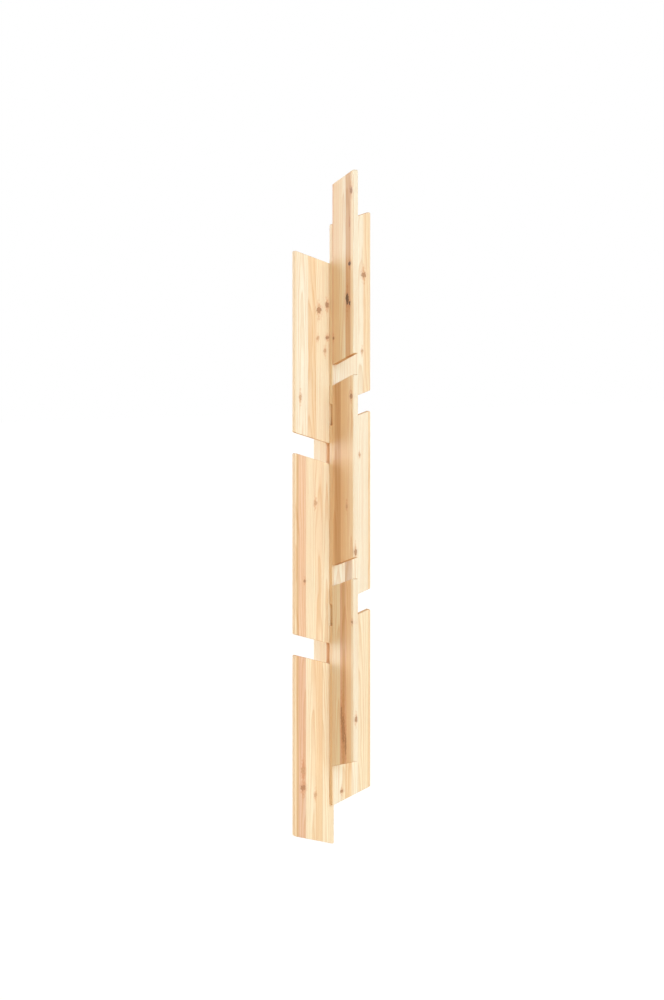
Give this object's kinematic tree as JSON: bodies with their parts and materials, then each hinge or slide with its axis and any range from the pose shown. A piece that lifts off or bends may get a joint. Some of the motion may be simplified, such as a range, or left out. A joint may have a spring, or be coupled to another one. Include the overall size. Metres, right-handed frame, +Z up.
{
  "type": "wall rack",
  "caption": "Tall wall rack of slant-ended knotty pine panels staggered in columns around a narrow wall spine, with slanted gaps between them.",
  "frame": {"origin": "middle of the spine's back edge, on the wall", "axes": "+X to the right of someone who faces the rack, +Y into the wall, +Z up"},
  "size_m": [0.282, 0.2559, 2.2402],
  "materials": {
    "pine": "clear matt lacquer",
    "beech": "raw",
    "zinc_plated_steel": "zinc plated"
  },
  "bodies": {
    "root": {"front_panel_top": "pine", "front_panel_middle": "pine", "front_panel_bottom": "pine", "right_panel_top": "pine", "right_panel_middle": "pine", "right_panel_bottom": "pine", "left_panel_top": "pine", "left_panel_middle": "pine", "left_panel_bottom": "pine", "wall_spine": "pine", "core_dowel_1": "beech", "core_dowel_2": "beech", "core_dowel_3": "beech", "core_dowel_4": "beech", "core_dowel_5": "beech", "core_dowel_6": "beech", "core_dowel_7": "beech", "core_dowel_8": "beech", "core_dowel_9": "beech", "core_dowel_10": "beech", "core_dowel_11": "beech", "core_dowel_12": "beech", "core_dowel_13": "beech", "lower_dowel_1": "beech", "lower_dowel_2": "beech", "end_dowel_1": "beech", "end_dowel_2": "beech", "end_dowel_3": "beech", "end_dowel_4": "beech", "keyhole_hanger_top": "zinc_plated_steel", "keyhole_hanger_bottom": "zinc_plated_steel", "hanger_screw_top_upper": "zinc_plated_steel", "hanger_screw_top_lower": "zinc_plated_steel", "hanger_screw_bottom_upper": "zinc_plated_steel", "hanger_screw_bottom_lower": "zinc_plated_steel"}
  },
  "joints": []
}
